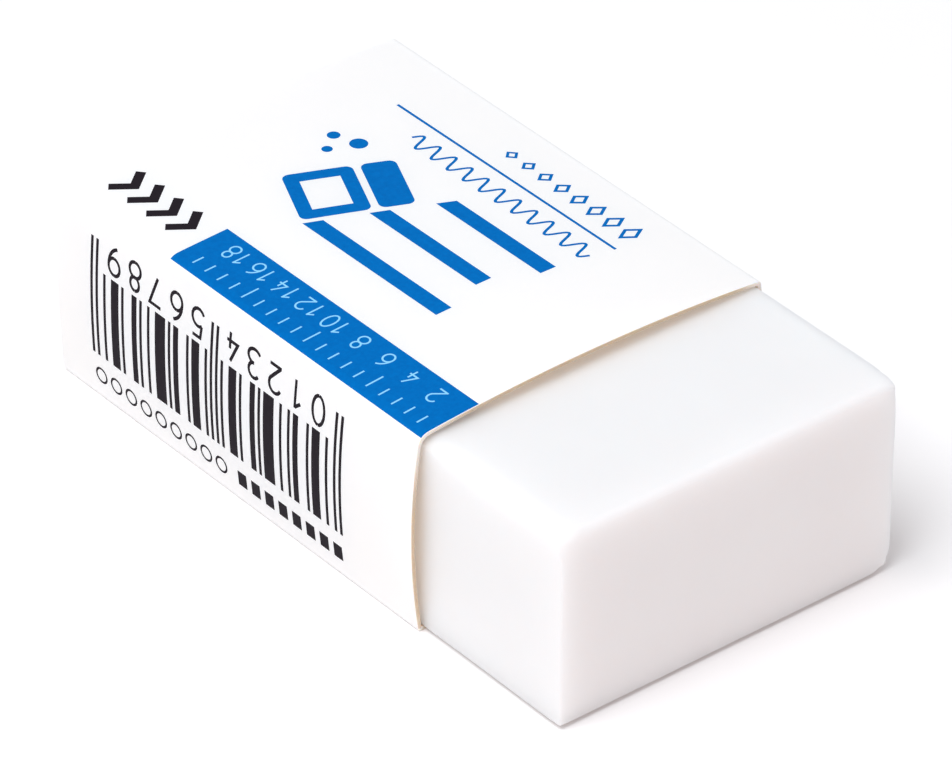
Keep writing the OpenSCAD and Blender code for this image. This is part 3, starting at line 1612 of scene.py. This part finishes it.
@dataclass(frozen=True)
class Softbox:
    """A square studio light that faces the object.

    Attributes:
        name: Name of the light.
        azimuth: Its compass direction from the object, 0 along -Y and 90 along +X, in degrees.
        elevation: Its height above the floor, in degrees.
        distance: Its distance in metres.
        size: Its side in metres.
        power: Its power in watts.
        colour: Its colour as sRGB hex.
    """

    name: str
    azimuth: float
    elevation: float
    distance: float
    size: float
    power: float
    colour: str

    def build(self) -> bpy.types.Object:
        """Hangs the light and turns it to the object.

        Returns:
            The light.
        """
        lamp = bpy.data.lights.new(self.name, "AREA")
        lamp.size = self.size
        lamp.energy = self.power
        lamp.color = linear(self.colour)[:3]
        made = bpy.data.objects.new(self.name, lamp)
        out = direction(self.azimuth, self.elevation)
        made.location = out * self.distance
        made.rotation_euler = (-out).to_track_quat("-Z", "Y").to_euler()
        bpy.context.scene.collection.objects.link(made)
        return made


def direction(azimuth: float, elevation: float) -> Vector:
    """The direction from the object to something round it.

    Args:
        azimuth: Its azimuth in degrees, 0 along -Y and 90 along +X.
        elevation: Its height above the floor, in degrees.

    Returns:
        The direction, at length 1.
    """
    turn, rise = math.radians(azimuth), math.radians(elevation)
    flat = math.cos(rise)
    return Vector((math.sin(turn) * flat, -math.cos(turn) * flat, math.sin(rise)))


@dataclass(frozen=True)
class Studio:
    """A pale floor, soft lights and a long lens.

    Attributes:
        floor_side: Side of the floor in metres.
        air: Colour of the light that comes from all round, as sRGB hex.
        air_strength: Strength of that light.
        azimuth: The camera's azimuth in degrees.
        elevation: The camera's elevation in degrees.
        roll: The camera's turn about its own axis, in degrees.
        distance_mm: Its distance from the point that it looks at.
        aim_mm: The point that it looks at.
        lens_mm: Its focal length on a sensor 36 mm wide.
        sight: The nearest and the farthest distance that it shows, in metres.
        lights: The softboxes.
    """

    floor_side: float = 6.0
    air: str = "#F6FAFF"
    air_strength: float = 0.49
    azimuth: float = 50.59
    elevation: float = 34.54
    roll: float = 0.52
    distance_mm: float = 383.8
    aim_mm: tuple[float, float, float] = (0.43, -0.1, 5.43)
    lens_mm: float = 286.8
    sight: tuple[float, float] = (0.01, 50.0)
    lights: tuple[Softbox, ...] = (
        Softbox(
            "key_softbox", azimuth=6, elevation=65, distance=0.6, size=0.4, power=2.98, colour="#F6FBFF",
        ),
        Softbox(
            "fill_softbox", azimuth=70, elevation=22, distance=0.6, size=0.3, power=0.37, colour="#FFAA92",
        ),
    )

    def build(self) -> None:
        """Lays the floor, hangs the lights and sets up the camera and the air."""
        self.floor()
        for light in self.lights:
            light.build()
        self.surround()
        self.camera()

    def floor(self) -> None:
        """Lays a plain matt sheet under the object."""
        half = self.floor_side / 2 / MM
        corners = np.array([[-half, -half, 0], [half, -half, 0], [half, half, 0], [-half, half, 0]])
        up = np.tile([0.0, 0.0, 1.0], (4, 1))
        sheet = make_piece("floor", corners, [[0, 1, 2, 3]], [SWEEP.material()], np.zeros(1), up)

    def surround(self) -> None:
        """Fills the room with even light and shows colours as they are."""
        world = bpy.data.worlds.new("studio_air")
        world.use_nodes = True
        sky = world.node_tree.nodes["Background"]
        sky.inputs["Color"].default_value = linear(self.air)
        sky.inputs["Strength"].default_value = self.air_strength
        bpy.context.scene.world = world
        bpy.context.scene.view_settings.view_transform = "Standard"

    def camera(self) -> None:
        """Sets the camera on a line from the point that it looks at, and turns it by its roll."""
        lens = bpy.data.cameras.new("long_lens")
        lens.lens = self.lens_mm
        lens.clip_start, lens.clip_end = self.sight
        camera = bpy.data.objects.new("long_lens", lens)
        out = direction(self.azimuth, self.elevation)
        look = (-out).to_track_quat("-Z", "Y").to_matrix()
        rolled = look @ Matrix.Rotation(math.radians(self.roll), 3, "Z")
        place = Vector(self.aim_mm) * MM + out * self.distance_mm * MM
        camera.matrix_world = Matrix.LocRotScale(place, rolled.to_quaternion(), None)
        bpy.context.scene.collection.objects.link(camera)
        bpy.context.scene.camera = camera


# ---------------------------------------------------------------- main

def main() -> None:
    """Builds the block, the sleeve and the studio."""
    logging.basicConfig(level=logging.INFO, format="%(name)s: %(message)s")
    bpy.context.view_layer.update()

    block = VinylBlock.from_frame().build()
    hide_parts("eraser_block")
    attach(block, "block")

    sleeve = CardSleeve(FoldedCard.from_frame()).build()
    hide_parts("card_sleeve")
    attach(sleeve, "sleeve")

    Studio().build()


if __name__ == "__main__":
    main()
